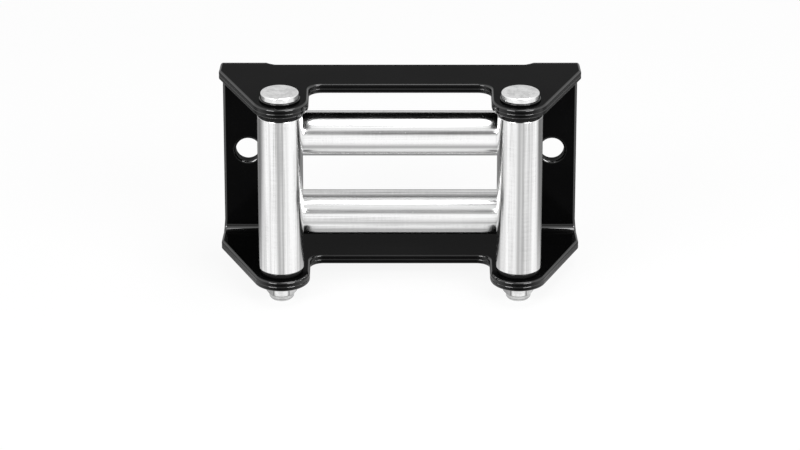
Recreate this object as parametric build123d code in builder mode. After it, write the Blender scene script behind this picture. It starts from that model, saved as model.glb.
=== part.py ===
from build123d import *
import os
from math import asin, atan2, cos, degrees, pi, sin, sqrt

# Roller fairlead for a small vehicle winch, in millimetres.
# X is the width, -Y is the front where the rope leaves, +Z is up.
# The origin is the middle of the two mounting holes, on the rear face.

# Mounting
hole_spacing = 128.0
hole_diameter = 10.2
hole_to_side = 10.2
hole_to_window = 8.6
hole_to_pin = 14.75

# Pressed bracket: a channel whose two flanges are bent forward. The press thins the sheet at those
# two bends, so their outside is rounder than the inside radius and the sheet give.
sheet = 4.2
inside_bend = 2.8
thinned_bend = 8.6
inside_height = 73.0
hip_flare = 1.1
hip_depth = 15.8
hip_round = 2.0
ear_radius = 11.8
notch_depth = 30.8
notch_round = 5.5
edge_bevel = 0.6
hole_round = 1.1

# Window between the mounting wings, and the tabs folded from its sides
relief_width = 1.6
relief_round = 1.4
window_cut = 9.0
window_round = 4.0
flange_to_tab = 9.0
tab_beyond_axis = 8.2
tab_round = 6.0

# Rollers: two upright ones in front and two level ones behind them
roller_diameter = 18.7
roller_wall = 2.0
roller_bevel = 0.4
flange_to_level = 18.65
level_axis_depth = 28.2
crossing_gap = 0.3

# Flanged bushes pressed into the ends of each roller
bush_flange_diameter = 17.9
bush_flange = 2.2
bush_sleeve = 12.0

# Pins, washers and lock nuts
pin_diameter = 8.0
head_diameter = 16.2
head_thickness = 2.4
head_chamfer = 0.45
washer_diameter = 16.8
washer_thickness = 1.0
thread_diameter = 6.4
thread_chamfer = 0.6
nut_across_flats = 11.1
nut_hexagon = 5.3
nut_bevel = 0.9
nut_collar = 2.3
nut_collar_diameter = 10.4
nut_collar_bevel = 0.8
insert_diameter = 7.8
insert_height = 1.9

# Named clearances
running_clearance = 0.05
end_play = 0.15
hole_clearance = 0.15
press_clearance = 0.02
thread_clearance = 0.03
shoulder_gap = 0.3
thread_recess = 0.3
cut_margin = 5.0
near = 0.01
smooth_angle = 15.0

# Places that follow from the sizes above. Every place across the width is set from the holes, and
# every height from the flanges.
plate_half = hole_spacing / 2 + hole_to_side
wing_x = hole_spacing / 2 - hole_to_window
upright_axis_x = hole_spacing / 2 - hole_to_pin
inside_half = inside_height / 2
outside_half = inside_half + sheet
outside_bend = inside_bend + sheet
upright_axis_depth = level_axis_depth + roller_diameter + crossing_gap
level_axis_z = inside_half - flange_to_level
tab_half_height = inside_half - flange_to_tab
tab_outer_x = wing_x - relief_width - inside_bend
tab_inner_x = tab_outer_x - sheet
tab_front_y = -(level_axis_depth + tab_beyond_axis)
notch_side_x = upright_axis_x - ear_radius
front_reach = upright_axis_depth + ear_radius
pin_hole_radius = pin_diameter / 2 + hole_clearance
tube_bore_radius = roller_diameter / 2 - roller_wall
nut_height = nut_hexagon + nut_collar

os.makedirs("parts", exist_ok=True)


def save(piece, name):
    """Label a finished piece and write it under its own name."""
    piece.part.label = name
    export_step(piece.part, f"parts/{name}.step")


def section(seat):
    """The plane through a seat's axis: its x is the radius and its y runs along the axis."""
    return Plane(origin=seat.origin, x_dir=seat.x_dir, z_dir=-seat.y_dir)


def cut_edges(piece):
    """The edges where two faces meet at an angle, as the press leaves them; bends run smooth."""
    faces_at = {}
    for face in piece.faces():
        for edge in face.edges():
            faces_at.setdefault(edge, []).append(face)
    sharp = ShapeList()
    for edge, faces in faces_at.items():
        middle = edge.position_at(0.5)
        normals = [face.normal_at(middle) for face in faces]
        if len(normals) == 2 and normals[0].get_angle(normals[1]) > smooth_angle:
            sharp.append(edge)
    return sharp


# Bracket
# Each flange tapers from its hip to the ear, in a line tangent to the ear's round end.
hip = Vector(plate_half + hip_flare, -hip_depth)
ear = Vector(upright_axis_x, -upright_axis_depth)
to_ear = ear - hip
taper_length = sqrt(to_ear.length**2 - ear_radius**2)
taper_angle = atan2(to_ear.Y, to_ear.X) + asin(ear_radius / to_ear.length)
taper_end = hip + Vector(cos(taper_angle), sin(taper_angle)) * taper_length
taper_normal = degrees(taper_angle + pi / 2)

with BuildSketch() as flange_plan:
    with BuildLine():
        Polyline((0, 0), (plate_half, 0), hip, taper_end)
        CenterArc(ear, ear_radius, taper_normal, -180 - taper_normal)
        Polyline((notch_side_x, ear.Y), (notch_side_x, -notch_depth), (0, -notch_depth))
        mirror(about=Plane.YZ)
    make_face()
    corners = flange_plan.vertices()
    hip_corners = corners.filter_by(lambda v: abs(abs(v.X) - hip.X) < near)
    notch_corners = corners.filter_by(lambda v: abs(v.Y + notch_depth) < near)
    fillet(hip_corners, hip_round)
    fillet(notch_corners.filter_by(lambda v: abs(v.X) > near), notch_round)

# In plan the window reaches past both bends, with rounded front corners.
with BuildSketch() as window_plan:
    with Locations((0, (cut_margin - window_cut) / 2)):
        Rectangle(2 * wing_x, window_cut + cut_margin)
    fillet(window_plan.vertices().group_by(Axis.Y)[0], window_round)

# Each tab is a strip of the same sheet, folded forward at the wing's inner edge.
with BuildSketch(Plane.XY.offset(-tab_half_height)) as tab_plan:
    with BuildLine():
        root_x = wing_x + sheet
        FilletPolyline((root_x, 0), (tab_inner_x, 0), (tab_inner_x, tab_front_y), radius=outside_bend)
        FilletPolyline((root_x, -sheet), (tab_outer_x, -sheet), (tab_outer_x, tab_front_y), radius=inside_bend)
        Line((root_x, 0), (root_x, -sheet))
        Line((tab_inner_x, tab_front_y), (tab_outer_x, tab_front_y))
    make_face()
    mirror(about=Plane.YZ)

with BuildPart() as bracket:
    # The bent channel, across the whole width
    with BuildSketch(Plane.YZ):
        with BuildLine():
            for half, depth, bend in ((outside_half, 0, thinned_bend), (inside_half, sheet, inside_bend)):
                rim = [(-front_reach, -half), (-depth, -half), (-depth, half), (-front_reach, half)]
                FilletPolyline(*rim, radius=bend)
            for half in (outside_half, -inside_half):
                Line((-front_reach, half), (-front_reach, half - sheet))
        make_face()
    extrude(amount=hip.X, both=True)
    # Trimmed to the flanges' outline from above, then opened by the window
    extrude(flange_plan.sketch, amount=outside_half, both=True, mode=Mode.INTERSECT)
    extrude(window_plan.sketch, amount=outside_half, both=True, mode=Mode.SUBTRACT)
    # Folded tabs with rounded front corners
    extrude(tab_plan.sketch, amount=2 * tab_half_height)
    tab_corners = bracket.edges().filter_by(Axis.X).filter_by(lambda e: abs(e.center().Y - tab_front_y) < near)
    fillet(tab_corners, tab_round)
    # Rounded reliefs where the ends of each fold meet the wing
    fold_ends = bracket.edges().filter_by(Axis.Y).filter_by(
        lambda e: abs(abs(e.center().X) - wing_x) + abs(abs(e.center().Z) - tab_half_height) < near
    )
    fillet(fold_ends, relief_round)
    # Every cut edge of the sheet is broken before the holes go in
    chamfer(cut_edges(bracket), edge_bevel)
    # Holes for the mounting bolts, plain at the rear and rounded at the front
    for side in (-1, 1):
        with Locations(Plane((side * hole_spacing / 2, 0, 0), x_dir=(1, 0, 0), z_dir=(0, 1, 0))):
            Hole(hole_diameter / 2, depth=sheet)
    front_rims = bracket.edges().filter_by(GeomType.CIRCLE).filter_by(
        lambda e: abs(e.radius - hole_diameter / 2) + abs(e.center().Y + sheet) < near
    )
    fillet(front_rims, hole_round)
    # Holes for the upright and the level roller pins
    with Locations((0, -upright_axis_depth, outside_half)):
        with GridLocations(2 * upright_axis_x, 0, 2, 1):
            Hole(pin_hole_radius, depth=2 * outside_half)
    for level in (-level_axis_z, level_axis_z):
        with Locations(Plane((tab_outer_x, -level_axis_depth, level), x_dir=(0, 1, 0), z_dir=(1, 0, 0))):
            Hole(pin_hole_radius, depth=2 * tab_outer_x)

save(bracket, "bracket")


def make_tube(name, seat, span):
    """The steel tube of one roller, between the flanges of its two bushes."""
    length = span - 2 * (end_play + bush_flange)
    with BuildPart() as tube:
        with BuildSketch(section(seat)) as wall:
            with Locations((roller_diameter / 2 - roller_wall / 2, 0)):
                Rectangle(roller_wall, length)
            chamfer(wall.vertices().group_by(Axis.X)[-1], roller_bevel)
        revolve(axis=Axis(seat.origin, seat.z_dir))
    save(tube, name)


def make_bush(name, seat, span, end):
    """A flanged bush pressed into the tube; end is 1 at the pin's head and -1 at its nut."""
    flange_radius = bush_flange_diameter / 2
    sleeve_radius = tube_bore_radius - press_clearance
    bore_radius = pin_diameter / 2 + running_clearance
    outer_face = end * (span / 2 - end_play)
    tube_end = outer_face - end * bush_flange
    sleeve_end = tube_end - end * bush_sleeve
    with BuildPart() as bush:
        with BuildSketch(section(seat)):
            with BuildLine():
                Polyline(
                    (bore_radius, outer_face),
                    (flange_radius, outer_face),
                    (flange_radius, tube_end),
                    (sleeve_radius, tube_end),
                    (sleeve_radius, sleeve_end),
                    (bore_radius, sleeve_end),
                    close=True,
                )
            make_face()
        revolve(axis=Axis(seat.origin, seat.z_dir))
    save(bush, name)


def make_pin(name, seat, span):
    """A headed pin: chamfered flat head, plain shank, and a thinner threaded end for the nut."""
    support = span / 2 + sheet
    under_head = support + washer_thickness
    head_top = under_head + head_thickness
    shoulder = shoulder_gap - support
    thread_end = thread_recess - support - nut_height
    with BuildPart() as pin:
        with BuildSketch(section(seat)) as profile:
            with BuildLine():
                Polyline(
                    (0, head_top),
                    (head_diameter / 2, head_top),
                    (head_diameter / 2, under_head),
                    (pin_diameter / 2, under_head),
                    (pin_diameter / 2, shoulder),
                    (thread_diameter / 2, shoulder),
                    (thread_diameter / 2, thread_end),
                    (0, thread_end),
                    close=True,
                )
            make_face()
            rim = profile.vertices().group_by(Axis.X)[-1]
            chamfer(rim.group_by(Axis.Y)[-1], head_chamfer)
            tip = profile.vertices().group_by(Axis.Y)[0]
            chamfer(tip.group_by(Axis.X)[-1], thread_chamfer)
        revolve(axis=Axis(seat.origin, seat.z_dir))
    save(pin, name)


def make_washer(name, seat, span):
    """A thin washer between the pin's head and the sheet."""
    bore_radius = pin_hole_radius
    ring_width = washer_diameter / 2 - bore_radius
    middle = span / 2 + sheet + washer_thickness / 2
    with BuildPart() as washer:
        with BuildSketch(section(seat)):
            with Locations((bore_radius + ring_width / 2, middle)):
                Rectangle(ring_width, washer_thickness)
        revolve(axis=Axis(seat.origin, seat.z_dir))
    save(washer, name)


def make_nut(name, seat, span):
    """A lock nut: a bevelled hexagon, then the round collar that holds its nylon ring."""
    face = Plane(seat.origin - seat.z_dir * (span / 2 + sheet), x_dir=seat.x_dir, z_dir=-seat.z_dir)
    axis = Axis(face.origin, face.z_dir)
    corner_radius = nut_across_flats / 2 / cos(pi / 6)
    bore_radius = thread_diameter / 2 + thread_clearance
    with BuildPart() as nut:
        with BuildSketch(face):
            RegularPolygon(nut_across_flats / 2, 6, major_radius=False)
        extrude(amount=nut_hexagon)
        # Turning the blank bevels the hexagon's outer corners
        with BuildSketch(section(face)):
            with BuildLine():
                Polyline(
                    (0, 0),
                    (corner_radius, 0),
                    (corner_radius, nut_hexagon - nut_bevel),
                    (nut_collar_diameter / 2, nut_hexagon),
                    (0, nut_hexagon),
                    close=True,
                )
            make_face()
        revolve(axis=axis, mode=Mode.INTERSECT)
        with BuildSketch(section(face)) as collar:
            with Locations((nut_collar_diameter / 4, nut_hexagon + nut_collar / 2)):
                Rectangle(nut_collar_diameter / 2, nut_collar)
            outer_corner = collar.vertices().group_by(Axis.X)[-1].group_by(Axis.Y)[-1]
            chamfer(outer_corner, nut_collar_bevel)
        revolve(axis=axis)
        with Locations(face.offset(nut_height)):
            CounterBoreHole(bore_radius, insert_diameter / 2, insert_height, depth=nut_height)
    save(nut, name)
    # The nylon ring sits in the collar and grips the thread
    grip_radius = thread_diameter / 2 + running_clearance
    ring_width = insert_diameter / 2 - press_clearance - grip_radius
    with BuildPart() as insert:
        with BuildSketch(section(face)):
            with Locations((grip_radius + ring_width / 2, nut_height - insert_height / 2)):
                Rectangle(ring_width, insert_height)
        revolve(axis=axis)
    save(insert, f"{name}_insert")


# A roller's seat has its origin midway between its supports and its z along the pin, towards the
# head. Its span is the clear distance between the supports.
upright_span = inside_height
level_span = 2 * tab_inner_x
rollers = []
for side_name, side in (("left", -1), ("right", 1)):
    seat = Plane((side * upright_axis_x, -upright_axis_depth, 0))
    rollers.append((side_name, seat, upright_span, ("top", "bottom")))
for level_name, level in (("upper", 1), ("lower", -1)):
    seat = Plane((0, -level_axis_depth, level * level_axis_z), x_dir=(0, 1, 0), z_dir=(-1, 0, 0))
    rollers.append((level_name, seat, level_span, ("left", "right")))

for name, seat, span, (head_end, nut_end) in rollers:
    make_tube(f"{name}_roller_tube", seat, span)
    make_bush(f"{name}_roller_{head_end}_bush", seat, span, 1)
    make_bush(f"{name}_roller_{nut_end}_bush", seat, span, -1)
    make_pin(f"{name}_pin", seat, span)
    make_washer(f"{name}_pin_washer", seat, span)
    make_nut(f"{name}_pin_nut", seat, span)
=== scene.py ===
import bpy
import numpy as np
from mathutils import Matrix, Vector
from mathutils.geometry import delaunay_2d_cdt


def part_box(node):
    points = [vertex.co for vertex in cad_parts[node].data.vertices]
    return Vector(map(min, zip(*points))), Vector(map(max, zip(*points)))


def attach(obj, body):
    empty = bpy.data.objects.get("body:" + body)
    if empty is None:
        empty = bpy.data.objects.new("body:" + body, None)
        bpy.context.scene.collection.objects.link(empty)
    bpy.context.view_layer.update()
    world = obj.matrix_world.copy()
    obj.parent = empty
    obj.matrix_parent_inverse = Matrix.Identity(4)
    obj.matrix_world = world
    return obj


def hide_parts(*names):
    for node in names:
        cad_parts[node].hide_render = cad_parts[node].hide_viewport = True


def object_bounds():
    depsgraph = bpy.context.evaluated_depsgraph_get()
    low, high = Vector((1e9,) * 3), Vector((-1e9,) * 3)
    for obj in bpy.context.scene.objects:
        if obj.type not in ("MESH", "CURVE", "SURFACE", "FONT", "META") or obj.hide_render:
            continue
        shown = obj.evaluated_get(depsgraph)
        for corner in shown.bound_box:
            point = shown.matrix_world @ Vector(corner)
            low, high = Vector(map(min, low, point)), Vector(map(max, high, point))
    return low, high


bl_info = {
    "name": "Roller fairlead",
    "version": (1, 0, 0),
    "blender": (4, 5, 0),
    "location": "View3D > Sidebar > Fairlead",
    "description": "Pressed bracket, four rollers on headed pins, and a pale studio for a winch fairlead",
    "category": "Add Mesh",
}

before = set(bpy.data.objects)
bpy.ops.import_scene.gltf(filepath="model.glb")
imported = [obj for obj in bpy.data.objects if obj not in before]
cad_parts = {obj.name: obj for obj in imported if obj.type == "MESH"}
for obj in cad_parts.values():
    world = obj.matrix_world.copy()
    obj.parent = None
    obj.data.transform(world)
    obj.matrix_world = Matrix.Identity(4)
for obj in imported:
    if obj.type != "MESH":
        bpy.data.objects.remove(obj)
cad_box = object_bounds()

MM = 0.001
ROUND_STEPS = 5
FINE_MARKS = 26
UPRIGHT = ("left", "right")
ROLLERS = UPRIGHT + ("upper", "lower")
ENDS = {name: ("top", "bottom") if name in UPRIGHT else ("left", "right") for name in ROLLERS}


# Points and paths

def unit(vectors):
    """Each vector divided by its length."""
    return vectors / np.linalg.norm(vectors, axis=-1, keepdims=True)


def rounded(outline, radii, steps, closed=True):
    """Corners of an outline replaced by arcs, with the outward normal and the edge mask at each point.

    An arc of radius r touches both sides at r / tan(half the corner's angle) from the corner, and its
    points turn evenly from one touching point to the other. The edge mask is sin(pi * share of that turn).
    The outline runs anticlockwise. An open one keeps its first and last point as they are.
    """
    corners = np.asarray(outline, float)
    before, after = np.roll(corners, 1, axis=-2), np.roll(corners, -1, axis=-2)
    if not closed:
        before, corners, after = before[..., 1:-1, :], corners[..., 1:-1, :], after[..., 1:-1, :]
    a, b = unit(before - corners), unit(after - corners)
    half = np.arccos(np.clip((a * b).sum(-1), -1, 1)) / 2
    radii = np.broadcast_to(radii, half.shape)
    centre = corners + unit(a + b) * (radii / np.sin(half))[..., None]
    touch = (radii / np.tan(half))[..., None]
    first = (corners + a * touch - centre) / radii[..., None]
    last = (corners + b * touch - centre) / radii[..., None]
    turn = (np.pi - 2 * half)[..., None, None]
    share = np.linspace(0, 1, steps + 1)[:, None]
    spoke = np.sin((1 - share) * turn) * first[..., None, :] + np.sin(share * turn) * last[..., None, :]
    spoke = spoke / np.sin(turn)
    points = centre[..., None, :] + spoke * radii[..., None, None]
    outward = a[..., 0] * b[..., 1] - a[..., 1] * b[..., 0] < 0
    normals = np.where(outward[..., None, None], spoke, -spoke)
    edge_mask = np.broadcast_to(np.sin(share * np.pi)[:, 0], points.shape[:-1])
    shape = points.shape[:-3] + (-1, 2)
    points, normals, edge_mask = points.reshape(shape), normals.reshape(shape), edge_mask.reshape(shape[:-1])
    if not closed:
        again = np.pad(np.arange(edge_mask.shape[-1]), 1, mode="edge")
        points, normals, edge_mask = points[..., again, :], normals[..., again, :], edge_mask[..., again]
        points[..., (0, -1), :] = np.asarray(outline)[..., (0, -1), :]
    return points, normals, edge_mask


def new_object(name, data):
    """An object of the scene with the given mesh, lamp or camera data."""
    thing = bpy.data.objects.new(name, data)
    bpy.context.scene.collection.objects.link(thing)
    return thing


def write_values(piece, name, values):
    """Stores one number for each point of a piece, for its material to read."""
    attribute = piece.data.attributes.new(name, "FLOAT", "POINT")
    attribute.data.foreach_set("value", values.astype(np.float32))


def make_mesh(name, points, faces, normals, edge_mask):
    """A mesh from arrays of points and corner numbers, with doubles merged and each point's own normal.

    Points that fall together are numbered once, and a face that loses a corner by it becomes a triangle.
    """
    points = points.reshape(-1, 3)
    _, chosen, number = np.unique(np.round(points, 9), axis=0, return_index=True, return_inverse=True)
    number = number.ravel()
    polygons = []
    for block in faces:
        block = number[block]
        kept = block != np.roll(block, 1, axis=1)
        for corners in range(3, block.shape[1] + 1):
            rows = kept.sum(1) == corners
            polygons += block[rows][kept[rows]].reshape(-1, corners).tolist()
    mesh = bpy.data.meshes.new(name)
    mesh.from_pydata(points[chosen], [], polygons)
    mesh.polygons.foreach_set("use_smooth", np.ones(len(mesh.polygons), bool))
    mesh.update()
    piece = new_object(name, mesh)
    # The edge mask, from which the materials make gloss and painted edge highlights and shades.
    write_values(piece, "worn_edge", edge_mask.reshape(-1)[chosen])
    if normals is not None:
        mesh.normals_split_custom_set_from_vertices(normals.reshape(-1, 3)[chosen])
    return piece


def grid_faces(rows, columns, row_seam, column_seam):
    """Corner numbers of the quads of a grid of points, joined across its seams where asked."""
    i = np.arange(rows if row_seam else rows - 1)[:, None]
    j = np.arange(columns if column_seam else columns - 1)[None, :]
    i2, j2 = (i + 1) % rows, (j + 1) % columns
    corners = (i * columns + j, i * columns + j2, i2 * columns + j2, i2 * columns + j)
    return np.stack(np.broadcast_arrays(*corners), -1).reshape(-1, 4)


def seat_of(name):
    """Origin, radial x, radial y and axis of a roller's pin; the axis points to the pin's head."""
    low, high = np.array(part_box(f"{name}_roller_tube"))
    middle = (low + high) / 2
    if name in UPRIGHT:
        return middle, np.array((1.0, 0, 0)), np.array((0, 1.0, 0)), np.array((0, 0, 1.0))
    return middle, np.array((0, 1.0, 0)), np.array((0, 0, -1.0)), np.array((-1.0, 0, 0))


def turned(name, seat, outline, radii, around=120, closed=True):
    """A turned piece: its rounded outline of (radius, height) carried once round the seat's axis.

    The point at angle a is origin + radius * (cos a * x + sin a * y) + height * axis.
    """
    origin, x, y, axis = seat
    profile, outward, edge_mask = rounded(np.array(outline) * MM, np.array(radii) * MM, ROUND_STEPS, closed)
    angle = np.linspace(0, 2 * np.pi, around, endpoint=False)[:, None, None]
    spoke = np.cos(angle) * x + np.sin(angle) * y
    points = origin + spoke * profile[:, :1] + axis * profile[:, 1:]
    normals = spoke * outward[:, :1] + axis * outward[:, 1:]
    faces = grid_faces(around, len(profile), True, closed)
    edge_mask = np.broadcast_to(edge_mask, (around, len(profile)))
    return make_mesh(name, points, [faces[:, ::-1]], normals, edge_mask)


def turned_places(piece, seat):
    """Each point's angle round its piece's seat, from the seat's x to its y, and its height on the axis."""
    origin, x, y, axis = seat
    points = np.empty(len(piece.data.vertices) * 3)
    piece.data.vertices.foreach_get("co", points)
    away = points.reshape(-1, 3) - origin
    return np.arctan2(away @ y, away @ x), away @ axis


def fit(piece, material, body, node):
    """Gives a piece its material and slot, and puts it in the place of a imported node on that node's body."""
    piece.data.materials.append(material)
    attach(piece, body)
    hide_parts(node)


def mark_streaks_and_reflections(tube, seat, seed, marks):
    """Writes the tube's long drawing marks and painted reflections as an attribute: 1 where bright and near 0
    in a dark line.

    The value at angle a is the product over all marks of 1 - depth * exp(-((a - place) / width)^2),
    so a mark runs straight along the tube. The given marks come first, wide dark bands that are painted
    reflections of dark surroundings, and random fine drawing marks follow.
    """
    random = np.random.default_rng(seed)
    places, widths, depths = zip(*marks)
    place = np.append(places, random.uniform(-np.pi, np.pi, FINE_MARKS))
    width = np.append(widths, random.uniform(0.02, 0.12, FINE_MARKS))
    depth = np.append(depths, random.uniform(0.05, 0.36, FINE_MARKS))
    angle, _ = turned_places(tube, seat)
    off = (angle[:, None] - place + np.pi) % (2 * np.pi) - np.pi
    write_values(tube, "drawn_streak", np.prod(1 - depth * np.exp(-((off / width) ** 2)), axis=1))


# Shader maths

class Wire:
    """One output socket; arithmetic on wires and numbers adds Math nodes."""

    def __init__(self, shader, socket):
        self.shader, self.socket = shader, socket

    def __add__(self, other):
        return self.shader.maths("ADD", self, other)

    def __sub__(self, other):
        return self.shader.maths("SUBTRACT", self, other)

    def __rsub__(self, other):
        return self.shader.maths("SUBTRACT", other, self)

    def __mul__(self, other):
        return self.shader.maths("MULTIPLY", self, other)

    __radd__, __rmul__ = __add__, __mul__


class Shader:
    """The node tree of one material or of the world."""

    def __init__(self, owner):
        owner.use_nodes = True
        self.owner, self.tree = owner, owner.node_tree
        self.tree.nodes.clear()

    def add(self, kind, sockets=None, output=0, **settings):
        """One output of a new node, whose settings are made before its sockets' values or links."""
        node = self.tree.nodes.new(kind)
        for key, value in settings.items():
            setattr(node, key, value)
        for key, value in (sockets or {}).items():
            if isinstance(value, Wire):
                self.tree.links.new(value.socket, node.inputs[key])
            else:
                node.inputs[key].default_value = value
        return Wire(self, node.outputs[output]) if len(node.outputs) else node

    def maths(self, operation, *values):
        """A Math node's result from wires and numbers."""
        return self.add("ShaderNodeMath", dict(enumerate(values)), operation=operation)

    def between(self, low, high, value):
        """0 below low, 1 above high and smooth in between."""
        sockets = {"Value": value, 1: low, 2: high, 3: 0.0, 4: 1.0}
        return self.add("ShaderNodeMapRange", sockets, interpolation_type="SMOOTHSTEP")

    def blend(self, share, first, second):
        """The first colour where share is 0 and the second where it is 1."""
        return self.add("ShaderNodeMix", {0: share, 6: first, 7: second}, 2, data_type="RGBA")

    def noise(self, scale, detail, stretch=(1, 1, 1), place=(0, 0, 0)):
        """Noise on the piece's own coordinates in metres, finer where scale is larger."""
        where = self.add("ShaderNodeTexCoord", output=3)
        where = self.add("ShaderNodeMapping", {"Vector": where, "Location": place, "Scale": stretch})
        return self.add("ShaderNodeTexNoise", {"Vector": where, "Scale": scale, "Detail": detail})

    def attribute(self, name):
        """A number that the piece holds for each of its points."""
        return self.add("ShaderNodeAttribute", output=2, attribute_name=name)

    def edge(self):
        """1 along the middle of each rounded edge and 0 on the flats; the materials make gloss and painted
        edge light of it.
        """
        return self.attribute("worn_edge")

    def bump(self, height, strength, distance, below=None):
        """A bump's normal; distance is in metres, and below is a bump that this one lies on."""
        sockets = {"Height": height, "Strength": strength, "Distance": distance}
        if below:
            sockets["Normal"] = below
        return self.add("ShaderNodeBump", sockets)

    def surface(self, **sockets):
        """The material, finished with a Principled surface."""
        names = {key.replace("_", " "): value for key, value in sockets.items()}
        result = self.add("ShaderNodeBsdfPrincipled", names)
        self.add("ShaderNodeOutputMaterial", {"Surface": result})
        return self.owner


def colour(values, times=1.0, plus=0.0):
    """A colour for a socket: each value times one number plus another, at most 1, and full opacity."""
    return (*(min(value * times + plus, 1.0) for value in values), 1.0)


def black_paint(look):
    """Gloss powder coat: orange peel, a slow change of gloss, and a glossy film along edges and bends, whose
    colour is paler there as a painted highlight on top of the thinner paint.
    """
    s = Shader(bpy.data.materials.new("black_powder_coat"))
    peel = s.noise(900, detail=1.5)
    cloud = s.noise(45, detail=3.0, place=(3, 1, 2))
    speck = s.between(0.66, 0.74, s.noise(2600, detail=1.0, place=(7, 4, 1)))
    edge = s.edge()
    tint = s.blend(s.between(0.3, 0.7, cloud), colour(look.paint), colour(look.paint, 1.3, 0.0003))
    # Painted highlight: edges, bends and side walls paler than the flats, partly for the thinner paint there.
    tint = s.blend(edge * 0.5, tint, colour(look.paint, 2.2, 0.002))
    return s.surface(
        Base_Color=tint,
        Roughness=look.paint_roughness + (cloud - 0.5) * 0.06 + speck * 0.10 - edge * 0.03,
        Normal=s.bump(peel, strength=0.08, distance=0.00012),
        Specular_IOR_Level=look.paint_specular,
        Coat_Weight=edge * look.paint_coat,
        Coat_Roughness=0.05,
        Coat_IOR=look.coat_ior,
    )


def stretch(axis, along, across=1.0):
    """How much finer a pattern is along one of the three axes and across it; below 1 draws it out."""
    return tuple(along if name == axis else across for name in "xyz")


def drawn_steel(look, name, axis):
    """Bright drawn tube: long fine lines along the axis, rings of polish across them, a few pits, and dark
    bands of painted reflection.
    """
    s = Shader(bpy.data.materials.new(name))
    lines = s.noise(2400, detail=3.0, stretch=stretch(axis, 0.012))
    rings = s.noise(1700, detail=3.0, stretch=stretch(axis, 1.0, 0.10), place=(5, 3, 8))
    bands = s.noise(420, detail=2.0, stretch=stretch(axis, 0.03), place=(2, 5, 3))
    haze = s.noise(90, detail=4.0, place=(1, 8, 4))
    pits = s.between(0.70, 0.76, s.noise(1500, detail=1.5, place=(9, 2, 6)))
    polish = s.between(0.20, 0.56, lines * 0.43 + bands * 0.47 + rings * 0.10)
    # The attribute puts the painted reflection bands and the fine drawing marks into the steel's colour.
    polish = polish * s.attribute("drawn_streak")
    tint = s.blend(polish, colour(look.steel, look.streak_and_reflection_tone), colour(look.steel))
    tint = s.blend(pits * 0.5, tint, colour(look.steel, 0.55))
    rough = look.steel_roughness + (lines - 0.5) * 0.16 + (haze - 0.5) * 0.10 + pits * 0.15
    normal = s.bump(haze, strength=0.012, distance=0.0002)
    normal = s.bump(lines, strength=0.12, distance=0.00002, below=normal)
    normal = s.bump(rings, strength=0.07, distance=0.00002, below=normal)
    return s.surface(Base_Color=tint, Metallic=1.0, Roughness=rough - s.edge() * 0.04, Normal=normal)


def zinc_plate(name, zinc, roughness, painted_edge_light_and_shade=1.12, flats=False):
    """Satin zinc plate: cloudy crystals, soft dents from the barrel, and painted light on the rounded edges: a
    painted highlight where painted_edge_light_and_shade is above 1 and a painted shade where it is below.

    With flats, each flat of a nut gets its own painted shade, with painted shade lines at its corners and a
    painted shade on its collar.
    """
    s = Shader(bpy.data.materials.new(name))
    cloud = s.noise(330, detail=4.0)
    grain = s.noise(1900, detail=3.0, place=(4, 4, 9))
    dents = s.noise(520, detail=2.0, place=(6, 1, 5))
    stain = s.between(0.60, 0.75, s.noise(700, detail=3.0, place=(1, 2, 7)))
    edge = s.edge()
    tint = s.blend(s.between(0.38, 0.62, cloud), colour(zinc, 0.80), colour(zinc))
    tint = s.blend(stain * 0.35, tint, colour(zinc, 0.5))
    if flats:
        # Painted shade: each flat of a nut, its corners and its collar darkened by its own amount.
        tint = s.blend(s.attribute("flat_tone"), colour(zinc, 0.12), tint)
    # Painted edge light: brighter edges on the pins as a painted highlight, darker edges on the nuts as a
    # painted shade.
    tint = s.blend(edge * 0.9, tint, colour([min(value * painted_edge_light_and_shade, 0.97) for value in zinc]))
    rough = roughness + (cloud - 0.5) * 0.22 + (grain - 0.5) * 0.18 - edge * 0.08
    normal = s.bump(dents, strength=0.35, distance=0.00012)
    normal = s.bump(grain, strength=0.12, distance=0.00004, below=normal)
    return s.surface(Base_Color=tint, Metallic=1.0, Roughness=rough, Normal=normal)


def nylon(name, base, roughness):
    """Moulded nylon: a fine grain, cloudy gloss, and glossier edges that are paler as a painted highlight."""
    s = Shader(bpy.data.materials.new(name))
    grain = s.noise(2600, detail=2.0)
    cloud = s.noise(160, detail=3.0, place=(2, 2, 5))
    edge = s.edge()
    tint = s.blend(cloud, colour(base), colour(base, 1.25, 0.002))
    # Painted highlight: rounded edges paler than the rest.
    tint = s.blend(edge * 0.4, tint, colour(base, 1.5, 0.01))
    return s.surface(
        Base_Color=tint,
        Roughness=roughness + (cloud - 0.5) * 0.15 + (grain - 0.5) * 0.1,
        Normal=s.bump(grain, strength=0.06, distance=0.00004),
        Specular_IOR_Level=0.15,
        Coat_Weight=edge,
        Coat_Roughness=0.12,
    )


# Sizes and colours that a user would change

def a_number(name, description, default, lowest=0.0, **more):
    """A number with a lowest value and further settings of its own."""
    return bpy.props.FloatProperty(name=name, description=description, default=default, min=lowest, **more)


def a_length(name, description, default):
    """A length in metres."""
    return a_number(name, description, default, precision=5, unit="LENGTH", subtype="DISTANCE")


def a_share(name, description, default):
    """A number from 0 to 1."""
    return a_number(name, description, default, max=1.0, subtype="FACTOR")


def a_colour(name, description, default):
    """A colour without opacity."""
    return bpy.props.FloatVectorProperty(
        name=name,
        description=description,
        default=default,
        size=3,
        min=0.0,
        max=1.0,
        subtype="COLOR",
    )


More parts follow.
